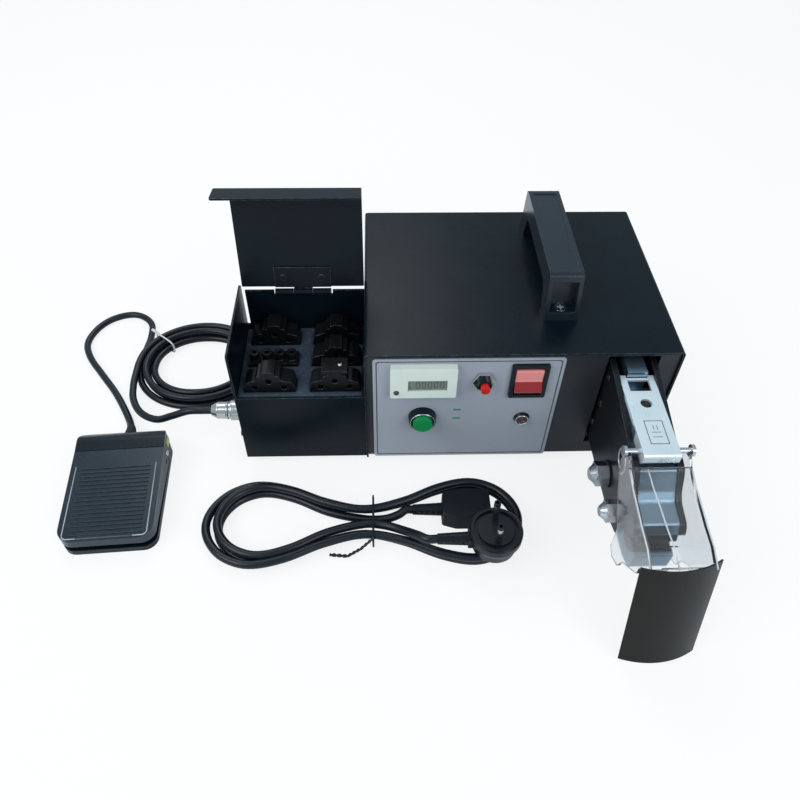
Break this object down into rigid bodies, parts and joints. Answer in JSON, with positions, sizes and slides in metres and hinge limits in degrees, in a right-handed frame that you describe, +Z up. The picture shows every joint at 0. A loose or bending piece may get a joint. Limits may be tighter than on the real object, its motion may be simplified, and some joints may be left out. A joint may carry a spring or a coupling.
{
  "type": "terminal crimping machine",
  "caption": "Bench machine that crimps wire terminals: sheet-metal housing with a cam-driven jaw head and clear guard, control panel, die tray with lid, carrying handle and foot pedal.",
  "frame": {"origin": "on the bench, under the centre of the machine with its pedal and without its cords", "axes": "+X to the right seen from the front, +Y to the rear, +Z up; the control panel faces -Y"},
  "size_m": [0.4914, 0.3559, 0.1958],
  "materials": {
    "black_coat": "satin black coat on folded steel sheet",
    "dark_sheet": "satin black coat",
    "zinc": "bright zinc plate",
    "rubber": "matt rubber",
    "foam": "dark closed-cell foam",
    "black_oxide": "black oxide on steel",
    "black_plastic": "moulded, fine texture",
    "cream_plastic": "pale smooth moulding",
    "grey_panel": "matt grey",
    "dark_glass": "smooth display window",
    "chrome": "polished",
    "red_plastic": "glossy",
    "green_plastic": "glossy",
    "dark_red": "smooth lens",
    "jaw_steel": "ground steel",
    "die_steel": "ground steel",
    "bright_steel": "bright turned steel",
    "clear_plastic": "clear bent sheet",
    "flap_black": "satin black sheet",
    "cast_grey": "cast",
    "motor_steel": "painted steel can",
    "board_green": "circuit board",
    "nickel": "nickel plate",
    "pedal_plastic": "moulded, fine texture",
    "cord_black": "smooth soft sheath",
    "tie_white": "soft plastic"
  },
  "bodies": {
    "machine": {"housing_cover": "black_coat", "base_chassis": "dark_sheet", "cover_screws": "zinc", "rubber_feet": "rubber", "storage_tray": "black_coat", "foam_insert": "foam", "spare_dies_left": "black_oxide", "spare_dies_right": "black_oxide", "spare_locators": "black_oxide", "wall_hinge_leaf": "black_coat", "hinge_pin": "zinc", "carry_handle": "black_plastic", "handle_screws": "zinc", "control_panel": "grey_panel", "counter_body": "cream_plastic", "counter_window": "dark_glass", "breaker_body": "black_plastic", "breaker_nut": "chrome", "rocker_frame": "black_plastic", "button_bezel": "black_plastic", "led_bezel": "black_plastic", "led_lens": "dark_red", "head_plate_left": "black_oxide", "head_plate_right": "black_oxide", "upper_jaw": "jaw_steel", "upper_die": "die_steel", "cam_bearings": "bright_steel", "through_bolts": "bright_steel", "bolt_washers": "black_oxide", "top_bracket": "zinc", "guard_pivot_screws": "bright_steel", "gearbox": "cast_grey", "motor": "motor_steel", "control_board": "board_green", "inlet_socket": "black_plastic", "aviation_socket": "nickel", "pedal_base": "pedal_plastic", "pedal_pin": "zinc", "pedal_cord": "cord_black", "pedal_coil": "cord_black", "plug_cord": "cord_black", "pedal_plug": "nickel", "coil_tie": "tie_white", "lead_hank": "cord_black", "lead_ends": "cord_black", "mains_plug": "black_plastic", "iec_connector": "black_plastic"},
    "lid": {"lid_panel": "black_coat", "lid_hinge_leaf": "black_coat"},
    "jaw": {"lower_jaw": "jaw_steel", "lower_die": "die_steel"},
    "roller": {"jaw_roller": "bright_steel"},
    "cam": {"cam_shaft": "bright_steel"},
    "guard": {"guard": "clear_plastic", "guard_flap": "flap_black"},
    "rocker": {"rocker": "red_plastic"},
    "start_button": {"green_button": "green_plastic"},
    "breaker_button": {"breaker_button": "red_plastic"},
    "counter_key": {"counter_key": "black_plastic"},
    "tread": {"pedal_tread": "pedal_plastic"}
  },
  "joints": [
    {"name": "lid_hinge", "type": "hinge", "parent": "machine", "child": "lid", "pos_m": [-0.0471, 0.07849, 0.1133], "axis": [1, 0, 0], "range_deg": [0, 99]},
    {"name": "jaw_pivot", "type": "hinge", "parent": "machine", "child": "jaw", "pos_m": [0.1914, -0.05226, 0.0495], "axis": [-1, 0, 0], "range_deg": [0, 8]},
    {"name": "roller_spin", "type": "hinge", "parent": "jaw", "child": "roller", "pos_m": [0.1914, 0.02912, 0.04528], "axis": [1, 0, 0], "continuous": true},
    {"name": "cam_turn", "type": "hinge", "parent": "machine", "child": "cam", "pos_m": [0.1914, 0.02774, 0.0645], "axis": [-1, 0, 0], "range_deg": [0, 150]},
    {"name": "guard_hinge", "type": "hinge", "parent": "machine", "child": "guard", "pos_m": [0.1914, -0.07426, 0.1035], "axis": [-1, 0, 0], "range_deg": [0, 80]},
    {"name": "rocker_tilt", "type": "hinge", "parent": "machine", "child": "rocker", "pos_m": [0.1185, 0.00024, 0.0952], "axis": [1, 0, 0], "range_deg": [0, 20]},
    {"name": "start_button_press", "type": "slide", "parent": "machine", "child": "start_button", "axis": [0, 1, 0], "range_m": [0, 0.003], "stiffness_N_per_m": 600},
    {"name": "breaker_press", "type": "slide", "parent": "machine", "child": "breaker_button", "axis": [0, 1, 0], "range_m": [0, 0.003], "stiffness_N_per_m": 500},
    {"name": "counter_key_press", "type": "slide", "parent": "machine", "child": "counter_key", "axis": [0, 1, 0], "range_m": [0, 0.001], "stiffness_N_per_m": 400},
    {"name": "pedal_press", "type": "hinge", "parent": "machine", "child": "tread", "pos_m": [-0.19244, -0.0093, 0.013], "axis": [0.9981, 0.061, 0], "range_deg": [0, 4], "stiffness_Nm_per_rad": 3, "springref_deg": -2.86}
  ],
  "couplings": [
    {"joint": "jaw_pivot", "follows": "cam_turn", "ratio": 0.053333}
  ]
}
